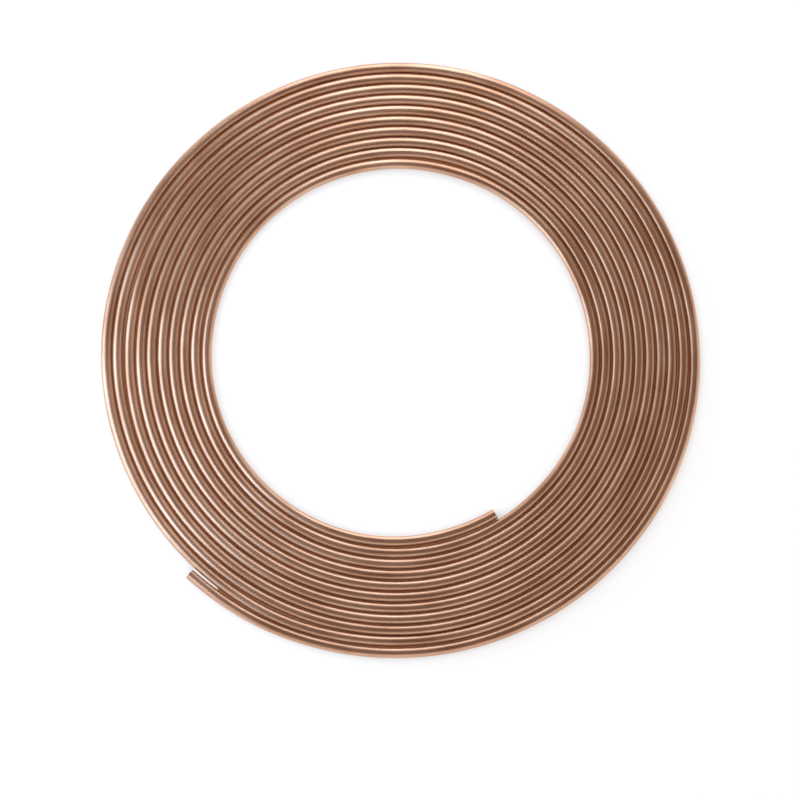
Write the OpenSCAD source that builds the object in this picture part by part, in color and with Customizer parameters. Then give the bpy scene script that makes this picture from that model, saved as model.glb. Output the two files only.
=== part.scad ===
// Copper tube coil: one length of soft copper tube wound flat, in a single layer.
// Sizes are in millimetres. +Z is up. The origin is on the floor, under the middle of the coil.
// The tube runs inward, counter-clockwise seen from above, from its outer end to its inner end.

/* [Tube] */
// Outside diameter of the tube
tube_od = 10; // [6:0.5:14]
// Thickness of the tube's wall
wall = 0.7; // [0.5:0.1:1.5]

/* [Winding] */
// Inside diameter of the innermost part turn
eye_d = 348; // [200:2:500]
// Whole turns of tube
turns = 10; // [3:1:15]
// Air gap between one turn and the next
turn_gap = 0.5; // [0.3:0.1:2]

/* [Ends] */
// Straight length at the outer end, for a fitting to slide over
straight_len = 28; // [20:1:60]
// How far the outer end has sprung out from the turn beside it
outer_spring = 1.2; // [1:0.1:3]
// Angle by which the inner end runs on past the last whole turn
inner_run = 69.5; // [20:0.5:85]
// How much tighter than the winding the inner end is curled
inner_spring = 1.5; // [0.5:0.1:3]
// Width of the broken edges round each cut end
edge_break = 0.2; // [0.1:0.05:0.2]

/* [Hidden] */
$fn = 72;
tube_r = tube_od / 2;
bore_r = tube_r - wall;
// Distance from one turn's centre line to the next
pitch = tube_od + turn_gap;
// Radius that the winding loses in each half turn
step = pitch / 2;
// Number of half turns in the winding
halves = 2 * turns;
// Radius of the winding's centre line at the inner end and at the outer end
inner_r = eye_d / 2 + tube_r;
outer_r = inner_r + turns * pitch;
// A spiral of half circles turns about two points in succession, half a step each side of the middle
CENTRES = [[0, -1], [0, 1]] * step / 2;
// Middle of the wound coil's outline, seen from above
middle = [step, -step - outer_spring] / 2;
// Where the outer end's straight length begins
outer_root = CENTRES[0] - [outer_spring, outer_r + outer_spring];

// The tube's wall in section
module tube_section() {
  difference() {
    circle(r = tube_r);
    circle(r = bore_r);
  }
}

// A bend of tube about a centre, from one angle through another
module bend(centre, radius, from, through) {
  translate(centre)
    rotate_extrude(angle = through, start = from)
      translate([radius, 0])
        tube_section();
}

// The turns between the two ends, each half turn one step tighter than the one before it
module winding() {
  bend(CENTRES[0], outer_r, 0, 90);
  for (k = [1 : halves - 1])
    bend(CENTRES[k % 2], outer_r - k * step, k % 2 == 1 ? 90 : 270, 180);
}

// The outer end: a wider quarter turn, then a straight length with a clean cut end
module outer_end() {
  bend(CENTRES[0] - [outer_spring, 0], outer_r + outer_spring, 270, 90);
  translate(outer_root)
    rotate([90, 0, -90])
      rotate_extrude()
        polygon([
          [bore_r, 0],
          [tube_r, 0],
          [tube_r, straight_len - edge_break],
          [tube_r - edge_break, straight_len],
          [bore_r + edge_break, straight_len],
          [bore_r, straight_len - edge_break]
        ]);
}

// The inner end: a tighter part turn with a clean cut end
module inner_end() {
  centre = CENTRES[0] - [0, inner_spring];
  radius = inner_r - inner_spring;
  difference() {
    bend(centre, radius, 270, inner_run);
    translate(centre)
      rotate(270 + inner_run)
        translate([radius, 0])
          rotate([90, 0, 180])
            rim_cutter();
  }
}

// What is taken off the outside and the inside of a cut end's rim
module rim_cutter() {
  rotate_extrude()
    polygon([
      [tube_r - edge_break - wall, wall],
      [tube_r + wall, wall],
      [tube_r + wall, -edge_break - wall]
    ]);
  rotate_extrude()
    polygon([
      [0, wall],
      [bore_r + edge_break + wall, wall],
      [0, -edge_break - bore_r]
    ]);
}

module copper_tube() {
  color("#b87a56")
    translate([-middle.x, -middle.y, tube_r]) {
      outer_end();
      winding();
      inner_end();
    }
}

copper_tube();
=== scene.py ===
# %% [markdown]
# # A flat coil of soft copper tube
#
# Copper tube for pipework is drawn hard, softened in a furnace, and wound flat so that fifteen
# metres of it can lie on a shelf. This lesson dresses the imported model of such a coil: it carries
# the tube's round section along its spiral, gives it the look of drawn and softened copper, and
# lights it on a plain white floor.
#
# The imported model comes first, because everything else is placed by it.

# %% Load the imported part
import math

import bpy
import numpy as np
from mathutils import Matrix, Vector


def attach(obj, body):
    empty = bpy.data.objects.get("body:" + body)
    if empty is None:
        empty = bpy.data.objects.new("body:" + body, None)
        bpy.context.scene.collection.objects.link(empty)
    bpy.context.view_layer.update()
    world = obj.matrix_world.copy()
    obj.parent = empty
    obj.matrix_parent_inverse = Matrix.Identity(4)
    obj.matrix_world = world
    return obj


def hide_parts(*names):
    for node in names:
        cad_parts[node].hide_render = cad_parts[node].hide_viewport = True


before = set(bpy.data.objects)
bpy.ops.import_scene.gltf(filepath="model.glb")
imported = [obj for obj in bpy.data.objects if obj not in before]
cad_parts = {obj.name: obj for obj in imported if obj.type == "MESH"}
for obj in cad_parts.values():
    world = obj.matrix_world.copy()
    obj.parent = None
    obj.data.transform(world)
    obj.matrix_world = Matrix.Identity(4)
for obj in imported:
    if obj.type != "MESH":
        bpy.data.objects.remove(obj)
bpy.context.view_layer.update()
print("solids:", *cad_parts)

# %% [markdown]
# ## The line that the tube follows
#
# A coil like this is wound flat, and each turn lies beside the one before it, so the tube's centre
# line loses one pitch of radius in every turn. The solid draws that with half circles round two
# centres, because a bend of constant radius is simple and exact there. A skin of points can follow
# the even spiral itself: the radius falls in step with the angle turned since the outer end. Along
# the winding the two lines are at most 0.6 mm apart.

# %% Sizes of the winding, in metres
MM = 0.001
TUBE_R = 5.0 * MM
TURN_GAP = 0.5 * MM
PITCH = 2 * TUBE_R + TURN_GAP
EYE_R = 174 * MM
TURNS = 10
# The inner end goes on for this much more than the whole turns
INNER_RUN = math.radians(68.3)
turned_in_all = 2 * math.pi * TURNS + INNER_RUN
# The origin is under the middle of the solid's box, which reaches further on the side of the outer end
OUTER_SPRING = 1.2 * MM
WINDING_AT = np.array([-PITCH / 2, PITCH / 2 + OUTER_SPRING]) / 2
# The solid's first half circle has its centre a quarter pitch off the middle, toward the outer end
first_r = EYE_R + TUBE_R + (TURNS + 0.25) * PITCH
print(round(turned_in_all / (2 * math.pi), 2), "turns")

# %% [markdown]
# ## Small faults of a wound coil
#
# Soft tube keeps every push that it gets. On the real coil the outer end stands off, and the turn
# behind it has a kink. The two outer turns stand out at two more places, the innermost turn has
# crept inward at two, and the inner end leaves its neighbour before it comes back to it. Two long
# presses go through the turns, as if the coil had leaned on something. Such faults could be
# sculpted, but as smooth bumps on the radius they can be read and changed: the place, the width and
# the height of a bell curve.

# %% Bumps: whole turns and degrees from the outer end, width in degrees, outward shift in mm
BUMPS = [
    (0, 4, 17, 1.25), (0, 112, 28, 1.0), (0, 305, 16, 0.5),
    (1, 12.5, 9.5, 1.05), (1, 42, 18, -0.4), (1, 119, 25, 0.6), (1, 305, 20, 0.5),
    (3, 297, 25, -0.15), (8, 212, 25, 0.4),
    (9, 202, 10, -0.5), (9, 292, 22, -0.45), (10, 52, 18, -0.9),
]
# The two presses, the first of which drifts a little from turn to turn
BUMPS += [(turn, 182 - 3 * turn, 26, -0.5) for turn in range(TURNS)]
BUMPS += [(turn, 290, 36, -0.6) for turn in range(2, TURNS)]
print(len(BUMPS), "bumps")


def bumps_at(turned):
    """Outward shift of the line: a sum of bell curves along the angle turned."""
    shift = np.zeros_like(turned)
    for turn, degrees, width, height in BUMPS:
        place = 2 * math.pi * turn + math.radians(degrees)
        shift += height * MM * np.exp(-(((turned - place) / math.radians(width)) ** 2))
    return shift


# %% A fine table of points along the line, from the outer tip to the inner tip
WOUND_POINTS = 16000
turned = np.linspace(0, turned_in_all, WOUND_POINTS)
radius = first_r - PITCH * turned / (2 * math.pi) + bumps_at(turned)
wound = WINDING_AT + radius[:, None] * np.stack([np.sin(turned), -np.cos(turned)], 1)
# The outer end is nearly straight, and its tip leans a little toward the coil
END_POINTS = 60
END_LENGTH = 29.2 * MM
END_LEAN = 0.9 * MM
back = np.linspace(1, 0, END_POINTS, endpoint=False)
outer_end = wound[0] + np.stack([-END_LENGTH * back, END_LEAN * back ** 2], 1)
line = np.concatenate([outer_end, wound])
line_length = np.append(0, np.cumsum(np.linalg.norm(np.diff(line, axis=0), axis=1)))
end_bends = line_length[END_POINTS]
tip = line_length[-1]
print("tube, metres:", round(float(tip), 2))


# %% Any place on the line
def on_line(along):
    """Point and outward direction of the centre line at lengths along it, read off the table.

    Outward is the line's own direction, turned a quarter turn clockwise.
    """
    heading = np.gradient(line, line_length, axis=0)
    point = np.stack([np.interp(along, line_length, line[:, i]) for i in (0, 1)], 1)
    ahead = np.stack([np.interp(along, line_length, heading[:, i]) for i in (0, 1)], 1)
    ahead /= np.linalg.norm(ahead, axis=1)[:, None]
    return point, np.stack([ahead[:, 1], -ahead[:, 0]], 1)


tips = on_line(np.array([0, tip]))[0]
print("outer and inner tip, mm:", (tips / MM).round(1).tolist())

# %% [markdown]
# ## The tube as one closed skin
#
# A tube could be a curve with a bevel, but then its bore would be a guess and its cut ends would
# be flat caps. Here a ring is carried along the line instead: out along the outside of the tube,
# over the rim of the inner cut end, back through the bore, and over the rim of the outer cut end
# to where it began. A ring that travels like that closes on itself both ways, as a bicycle tube
# does, so the skin has no seam, no pole and a true wall.

# %% Where rings sit on the skin and in the bore
EDGE_BREAK = 0.2 * MM
RIM_CLEARANCE = 4 * EDGE_BREAK
END_RINGS = 8


def ring_lengths(every_degrees):
    """Lengths along the tube of its rings: evenly on the outer end, and at an even angle on the bends."""
    angle = np.arange(math.radians(every_degrees), turned_in_all, math.radians(every_degrees))
    on_bends = np.interp(angle, turned, line_length[END_POINTS:])
    on_end = np.linspace(0, end_bends, END_RINGS + 1)[1:]
    rings = np.concatenate([on_end, on_bends])
    return rings[(rings > RIM_CLEARANCE) & (rings < tip - RIM_CLEARANCE)]


skin_rings = ring_lengths(every_degrees=2.0)
bore_rings = ring_lengths(every_degrees=4.0)[::-1]
print(len(skin_rings), "rings on the skin and", len(bore_rings), "in the bore")

# %% The journey of the ring: its length along the tube, its radius, and the finish that follows it
BORE_R = TUBE_R - 0.7 * MM
SKIN, RIM, BORE = 0, 1, 2
ring_along = np.concatenate([
    [0, 0, EDGE_BREAK], skin_rings, [tip - EDGE_BREAK, tip],
    [tip, tip - EDGE_BREAK], bore_rings, [EDGE_BREAK],
])
ring_radius = np.concatenate([
    [BORE_R + EDGE_BREAK, TUBE_R - EDGE_BREAK, TUBE_R], np.full(len(skin_rings), TUBE_R),
    [TUBE_R, TUBE_R - EDGE_BREAK], [BORE_R + EDGE_BREAK, BORE_R],
    np.full(len(bore_rings), BORE_R), [BORE_R],
])
ring_finish = np.concatenate([
    [RIM, RIM, SKIN], np.full(len(skin_rings), SKIN), [RIM, RIM],
    [RIM, BORE], np.full(len(bore_rings), BORE), [RIM],
])
print("rings of skin, rim and bore:", np.bincount(ring_finish))


# %% Carry the ring along
def tube_skin(along, radius, sides):
    """Points of a ring carried along the line, and where each would lie on the tube pulled straight.

    A point is the line's point, plus the radius times the cosine of an angle outward and its sine
    upward. Pulled straight, it is the same cosine and sine, with the length along as third number.
    """
    point, outward = on_line(along)
    around = np.linspace(0, 2 * math.pi, sides, endpoint=False)
    across = radius[:, None] * np.cos(around)
    up = radius[:, None] * np.sin(around)
    xy = point[:, None, :] + across[:, :, None] * outward[:, None, :]
    wound_at = np.concatenate([xy, (TUBE_R + up)[:, :, None]], 2)
    length = np.broadcast_to(along[:, None], across.shape)
    straight_at = np.stack([across, up, length], 2)
    return wound_at.reshape(-1, 3), straight_at.reshape(-1, 3)


def ring_faces(rings, sides):
    """Four corners of each face between one ring and the next, the last ring joined to the first."""
    i, j = np.meshgrid(np.arange(rings), np.arange(sides), indexing="ij")
    next_i = (i + 1) % rings
    next_j = (j + 1) % sides
    corners = [i * sides + j, i * sides + next_j, next_i * sides + next_j, next_i * sides + j]
    return np.stack([corner.ravel() for corner in corners], 1)


SIDES = 28
points, pulled_straight = tube_skin(ring_along, ring_radius, SIDES)
faces = ring_faces(len(ring_along), SIDES)
print(len(points), "points,", 2 * len(faces), "triangles")

# %% Put it into a mesh
SHARP_FROM = math.radians(25)
mesh = bpy.data.meshes.new("coiled_tube")
mesh.from_pydata(points, [], faces.tolist())
mesh.update()
straightened = mesh.attributes.new("straightened", "FLOAT_VECTOR", "POINT")
straightened.data.foreach_set("vector", pulled_straight.astype(np.float32).ravel())
mesh.polygons.foreach_set("material_index", np.repeat(ring_finish, SIDES))
mesh.shade_smooth()
mesh.set_sharp_from_angle(angle=SHARP_FROM)
coil = bpy.data.objects.new("coiled_tube", mesh)
bpy.context.scene.collection.objects.link(coil)
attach(coil, "root")
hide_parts("copper_tube")
print(coil.name, "stands for the solid")

# %% [markdown]
# ## Soft copper, drawn and annealed
#
# Copper tube is pulled through a die, which leaves faint straight lines along it, and is then
# softened in a furnace under a shielding gas. It comes out clean but not polished: a warm brown
# metal with a satin sheen, a thin film of oil or oxide over it, and soft clouds where the film is
# thicker. An even brown metal would look like paint, so two patterns make the film. They follow
# the tube, and are read from the place that each point would have on the tube pulled straight.


# %% Colours are written in sRGB and used as linear light
def linear(hex_colour):
    """An sRGB hex colour as linear red, green, blue and alpha."""
    srgb = np.array([int(hex_colour[i:i + 2], 16) for i in (1, 3, 5)]) / 255
    value = np.where(srgb <= 0.04045, srgb / 12.92, ((srgb + 0.055) / 1.055) ** 2.4)
    return (*value.tolist(), 1.0)


THICK_FILM = "#bd8b69"
THIN_FILM = "#dfb494"
for film_colour in (THICK_FILM, THIN_FILM):
    print(film_colour, "is", [round(part, 3) for part in linear(film_colour)[:3]])


# %% One function adds any node
def add(tree, kind, inputs=None, stops=(), **settings):
    """A new node with its settings, a value or a link for each named input, and a ramp's stops.

    A stop is a place between 0 and 1 and a hex colour. The ramp's first two stops, at 0 and 1, go.
    """
    made = tree.nodes.new(kind)
    for name, value in settings.items():
        setattr(made, name, value)
    for name, value in (inputs or {}).items():
        if isinstance(value, bpy.types.NodeSocket):
            tree.links.new(value, made.inputs[name])
        else:
            made.inputs[name].default_value = value
    for place, colour in stops:
        made.color_ramp.elements.new(place).color = linear(colour)
    if stops:
        made.color_ramp.elements.remove(made.color_ramp.elements[0])
        made.color_ramp.elements.remove(made.color_ramp.elements[-1])
    return made


def new_material(name):
    """An empty node material and its output node."""
    material = bpy.data.materials.new(name)
    material.use_nodes = True
    material.node_tree.nodes.clear()
    return material, add(material.node_tree, "ShaderNodeOutputMaterial")


copper, copper_out = new_material("soft_annealed_copper")
print(copper.name, "is begun")

# %% The film on the tube: clouds, and lines of the die
tree = copper.node_tree
place = add(tree, "ShaderNodeAttribute", attribute_name="straightened").outputs["Vector"]
CLOUD_WIDTH = 12.5 * MM
CLOUD_LENGTH = 62.5 * MM
cloud_place = add(tree, "ShaderNodeMapping",
                  {"Vector": place, "Scale": (1 / CLOUD_WIDTH, 1 / CLOUD_WIDTH, 1 / CLOUD_LENGTH)})
clouds = add(tree, "ShaderNodeTexNoise",
             {"Vector": cloud_place.outputs[0], "Scale": 1.0, "Detail": 4.0, "Roughness": 0.55})
# The real die lines are finer still, and are drawn coarser here so that they show
DIE_LINE_WIDTH = 0.625 * MM
DIE_LINE_LENGTH = 125 * MM
line_scale = (1 / DIE_LINE_WIDTH, 1 / DIE_LINE_WIDTH, 1 / DIE_LINE_LENGTH)
line_place = add(tree, "ShaderNodeMapping", {"Vector": place, "Scale": line_scale})
die_lines = add(tree, "ShaderNodeTexNoise",
                {"Vector": line_place.outputs[0], "Scale": 1.0, "Detail": 2.0, "Roughness": 0.5})
# The film thins, and the copper pales, where both patterns are high; a line counts half as much
film = add(tree, "ShaderNodeMath",
           {0: die_lines.outputs["Fac"], 1: 0.5, 2: clouds.outputs["Fac"]}, operation="MULTIPLY_ADD")
colour = add(tree, "ShaderNodeValToRGB", {"Fac": film.outputs[0]},
             stops=[(0.56, THICK_FILM), (0.9, THIN_FILM)])
print(copper.name, "has", len(tree.nodes), "nodes so far")

# %% The metal under it: satin, with the die lines as fine grooves
rough = add(tree, "ShaderNodeMapRange",
            {"Value": die_lines.outputs["Fac"], "From Min": 0.3, "From Max": 0.7,
             "To Min": 0.34, "To Max": 0.5})
bump = add(tree, "ShaderNodeBump",
           {"Height": die_lines.outputs["Fac"], "Strength": 0.5, "Distance": 0.03 * MM})
# The film scatters a tenth of the light, so the surface is not quite all metal, and the coat is its oil
skin = add(tree, "ShaderNodeBsdfPrincipled",
           {"Base Color": colour.outputs["Color"], "Metallic": 0.9,
            "Roughness": rough.outputs["Result"], "Normal": bump.outputs["Normal"],
            "Coat Weight": 0.3, "Coat Roughness": 0.3})
tree.links.new(skin.outputs["BSDF"], copper_out.inputs["Surface"])
mesh.materials.append(copper)
print(copper.name, "has", len(tree.nodes), "nodes")

# %% [markdown]
# ## The cut ends and the bore
#
# A wheel cutter leaves the rim of a cut end bright, with fine rings round the axis. The bore was
# never touched after the furnace: it is duller than the outside. Both are copper like the skin, so
# they are the same shader with other numbers, on the faces of the rims and of the bore.

# %% Cut rim, bright from the cutter
cut, cut_out = new_material("wheel_cut_copper")
tree = cut.node_tree
place = add(tree, "ShaderNodeAttribute", attribute_name="straightened").outputs["Vector"]
across = add(tree, "ShaderNodeVectorMath", {0: place, 1: (1, 1, 0)}, operation="MULTIPLY")
from_axis = add(tree, "ShaderNodeVectorMath", {0: across.outputs["Vector"]}, operation="LENGTH")
# The real rings are about half as wide, and are drawn coarser here so that they show
CUT_RING_WIDTH = 0.125 * MM
cut_rings = add(tree, "ShaderNodeTexNoise",
                {"W": from_axis.outputs["Value"], "Scale": 1 / CUT_RING_WIDTH, "Detail": 1.0},
                noise_dimensions="1D")
colour = add(tree, "ShaderNodeValToRGB", {"Fac": cut_rings.outputs["Fac"]},
             stops=[(0.3, "#d0a488"), (0.7, "#e6bda2")])
bump = add(tree, "ShaderNodeBump",
           {"Height": cut_rings.outputs["Fac"], "Strength": 0.3, "Distance": 0.02 * MM})
rim = add(tree, "ShaderNodeBsdfPrincipled",
          {"Base Color": colour.outputs["Color"], "Metallic": 1.0, "Roughness": 0.32,
           "Normal": bump.outputs["Normal"]})
tree.links.new(rim.outputs["BSDF"], cut_out.inputs["Surface"])
mesh.materials.append(cut)
print(cut.name, "has", len(tree.nodes), "nodes")

# %% Bore, dull from the furnace, with streaks of the plug that it was drawn over
bore, bore_out = new_material("dull_bore_copper")
tree = bore.node_tree
place = add(tree, "ShaderNodeAttribute", attribute_name="straightened").outputs["Vector"]
STREAK_WIDTH = 1.0 * MM
STREAK_LENGTH = 40 * MM
streak_scale = (1 / STREAK_WIDTH, 1 / STREAK_WIDTH, 1 / STREAK_LENGTH)
streak_place = add(tree, "ShaderNodeMapping", {"Vector": place, "Scale": streak_scale})
streaks = add(tree, "ShaderNodeTexNoise",
              {"Vector": streak_place.outputs[0], "Scale": 1.0, "Detail": 3.0})
colour = add(tree, "ShaderNodeValToRGB", {"Fac": streaks.outputs["Fac"]},
             stops=[(0.3, "#8f6650"), (0.7, "#b0856c")])
inside = add(tree, "ShaderNodeBsdfPrincipled",
             {"Base Color": colour.outputs["Color"], "Metallic": 1.0, "Roughness": 0.5})
tree.links.new(inside.outputs["BSDF"], bore_out.inputs["Surface"])
mesh.materials.append(bore)
print(bore.name, "has", len(tree.nodes), "nodes")

# %% [markdown]
# ## White paper under the coil
#
# The coil lies on white paper. Enough lamp light to make the paper white would be far too much for
# the copper. So it is matt grey paper, which keeps the coil's shadow, and it also glows, but only
# to rays that come from the camera, off shiny metal or through glass. The glow carries painted
# shade: it is painted less next to the tube, and painted brown in the narrow gaps between turns, in
# place of the light that the copper throws onto the paper there. Painted light keeps the open wedge
# behind the outer end white.

# %% The sheet
FLOOR_REACH = 12.0
corners = [(-1, -1, 0), (1, -1, 0), (1, 1, 0), (-1, 1, 0)]
floor_mesh = bpy.data.meshes.new("floor")
floor_mesh.from_pydata(FLOOR_REACH * np.array(corners), [], [(0, 1, 2, 3)])
floor = bpy.data.objects.new("floor", floor_mesh)
bpy.context.scene.collection.objects.link(floor)
print("paper, metres across:", 2 * FLOOR_REACH)

# %% How open the paper lies: 0 deep in a gap, 1 in the clear; this sets the painted shade
paper, paper_out = new_material("white_paper")
tree = paper.node_tree
SHADED_WITHIN = 15 * MM
sky = add(tree, "ShaderNodeAmbientOcclusion", {"Distance": SHADED_WITHIN}, samples=16)
# The wedge is an oval place on the paper, longer along the outer end than across it, where painted light
# lifts the shade
WEDGE_AT = (-17.0 * MM, -278.5 * MM, 0)
WEDGE_STRETCH = (1.8, 1.0, 1.0)
on_paper = add(tree, "ShaderNodeTexCoord").outputs["Object"]
wedge_place = add(tree, "ShaderNodeMapping",
                  {"Vector": on_paper, "Location": WEDGE_AT, "Scale": WEDGE_STRETCH},
                  vector_type="TEXTURE")
from_wedge = add(tree, "ShaderNodeVectorMath", {0: wedge_place.outputs["Vector"]}, operation="LENGTH")
wedge_painted_light = add(tree, "ShaderNodeMapRange",
               {"Value": from_wedge.outputs["Value"], "From Min": 6.0 * MM, "From Max": 9.0 * MM,
                "To Min": 0.6, "To Max": 0.0})
openness = add(tree, "ShaderNodeMath",
               {0: sky.outputs["AO"], 1: wedge_painted_light.outputs["Result"]}, operation="ADD")
print(paper.name, "has", len(tree.nodes), "nodes so far")

# %% The glow with its painted shade, who sees it, and the matt paper itself
# Painted shade: grey glow next to the tube, and painted brown light from the copper deep in the gaps
painted_shade_tint = add(tree, "ShaderNodeValToRGB", {"Fac": openness.outputs[0]},
           stops=[(0.2, "#7c4f30"), (0.36, "#c4c4c4"), (0.85, "#ececec")])
ray = add(tree, "ShaderNodeLightPath").outputs
seen = add(tree, "ShaderNodeMath",
           {0: ray["Is Camera Ray"], 1: ray["Is Glossy Ray"]}, operation="MAXIMUM")
seen = add(tree, "ShaderNodeMath",
           {0: seen.outputs[0], 1: ray["Is Transmission Ray"]}, operation="MAXIMUM")
glow_with_painted_shade = add(tree, "ShaderNodeEmission", {"Color": painted_shade_tint.outputs["Color"], "Strength": seen.outputs[0]})
sheet = add(tree, "ShaderNodeBsdfDiffuse", {"Color": linear("#959595")})
both = add(tree, "ShaderNodeAddShader", {0: sheet.outputs[0], 1: glow_with_painted_shade.outputs[0]})
tree.links.new(both.outputs[0], paper_out.inputs["Surface"])
floor_mesh.materials.append(paper)
print(paper.name, "has", len(tree.nodes), "nodes")

# %% [markdown]
# ## Soft light
#
# A shiny round tube shows its surroundings as bands that run along each turn, so the lights are
# placed by the bands that they leave. A tall soft light stands behind the coil, a cooler one stands
# low and close on its left, and two weak ones fill in from the front and the right. The walls of
# the room are pale, and a dim warm ceiling keeps the top of each turn brown. One even dome of light
# would be simpler, but the turns would look flat under it.

# %% The room: pale at the horizon, dim and warm overhead
world = bpy.data.worlds.new("studio")
world.use_nodes = True
bpy.context.scene.world = world
tree = world.node_tree
tree.nodes.clear()
direction = add(tree, "ShaderNodeTexCoord").outputs["Generated"]
upward = add(tree, "ShaderNodeSeparateXYZ", {"Vector": direction}).outputs["Z"]
sweep = add(tree, "ShaderNodeValToRGB", {"Fac": upward},
            stops=[(0.05, "#f3f1ef"), (0.35, "#dad1c8"), (0.8, "#5d350d")])
room = add(tree, "ShaderNodeBackground", {"Color": sweep.outputs["Color"], "Strength": 1.0})
add(tree, "ShaderNodeOutputWorld", {"Surface": room.outputs[0]})
print(world.name, "has", len(tree.nodes), "nodes")

# %% Lamps are placed as the picture shows them
# The top of the picture is the part's +Y, turned by this angle
PICTURE_TURN = math.radians(37.25)
picture_turn = Matrix.Rotation(PICTURE_TURN, 3, "Z")


def seen_in_picture(right, up, height):
    """A place given as the picture shows it, in metres right and up from the coil's middle."""
    return picture_turn @ Vector((right, up, 0)) + Vector((0, 0, height))


def soft_light(name, place, aim, width, depth, watts, colour):
    """A rectangular soft light at a place, facing another."""
    data = bpy.data.lights.new(name, "AREA")
    data.shape = "RECTANGLE"
    data.size = width
    data.size_y = depth
    data.energy = watts
    data.color = linear(colour)[:3]
    lamp = bpy.data.objects.new(name, data)
    bpy.context.scene.collection.objects.link(lamp)
    lamp.location = place
    lamp.rotation_mode = "QUATERNION"
    lamp.rotation_quaternion = (aim - place).to_track_quat("-Z", "Y")
    print(name, "is", round((aim - place).length, 2), "metres from its aim")


# %% Four soft lights
COOL = "#dcebff"
COOLER = "#c1ddff"
middle = Vector((0, 0, 0))
soft_light("back_light", seen_in_picture(0.03, 0.78, 0.36), middle,
           width=0.7, depth=0.74, watts=5.58, colour=COOL)
soft_light("left_light", seen_in_picture(-0.55, -0.14, 0.25), seen_in_picture(0, -0.1, 0),
           width=0.72, depth=0.42, watts=3.66, colour=COOLER)
soft_light("front_light", seen_in_picture(0.4, -1.1, 0.4), middle,
           width=3.2, depth=0.5, watts=5.4, colour=COOL)
soft_light("right_light", seen_in_picture(1.0, -0.2, 0.3), middle,
           width=1.0, depth=0.56, watts=0.78, colour=COOL)

# %% [markdown]
# ## The camera
#
# The picture was taken from nearly overhead with a long lens. Fitting the turns' even spacing to
# the picture gives the tilt, about nine and a half degrees from straight down, and a distance of
# about twelve coil radii. The camera aims beside the coil's middle rather than shifting its lens,
# because a shifted lens would upset views from other sides.

# %% What the fit gives: a pixel's width at the coil, the tilt, the lens, and the coil's pixel
PICTURE_SIZE = 800
PIXEL = 0.9545 * MM
TILT = math.radians(9.46)
LENS_PIXELS = 3662
COIL_AT_X, COIL_AT_Y = 397.65, 354.05
distance = LENS_PIXELS * PIXEL
print("camera to coil, metres:", round(distance, 2))

# %% The lens
eye = bpy.data.cameras.new("camera")
eye.sensor_width = 36.0
eye.lens = eye.sensor_width * LENS_PIXELS / PICTURE_SIZE
eye.clip_end = 100
camera = bpy.data.objects.new("camera", eye)
bpy.context.scene.collection.objects.link(camera)
bpy.context.scene.camera = camera
bpy.context.scene.view_settings.view_transform = "Standard"
print("lens, mm:", round(eye.lens, 1))

# %% Where it stands, and what it looks at
winding_centre = Vector((*WINDING_AT, TUBE_R))
toward_eye = picture_turn @ Vector((0, -math.sin(TILT), math.cos(TILT)))
right = picture_turn @ Vector((1, 0, 0))
up = toward_eye.cross(right)
camera.location = winding_centre + toward_eye * distance
coil_right = (COIL_AT_X - PICTURE_SIZE / 2) * PIXEL
coil_up = (PICTURE_SIZE / 2 - COIL_AT_Y) * PIXEL
aim = winding_centre - right * coil_right - up * coil_up
backward = (camera.location - aim).normalized()
sideways = (right - backward * right.dot(backward)).normalized()
axes = Matrix((sideways, backward.cross(sideways), backward)).transposed()
camera.rotation_mode = "QUATERNION"
camera.rotation_quaternion = axes.to_quaternion()
print("camera stands at, metres:", [round(part, 2) for part in camera.location])
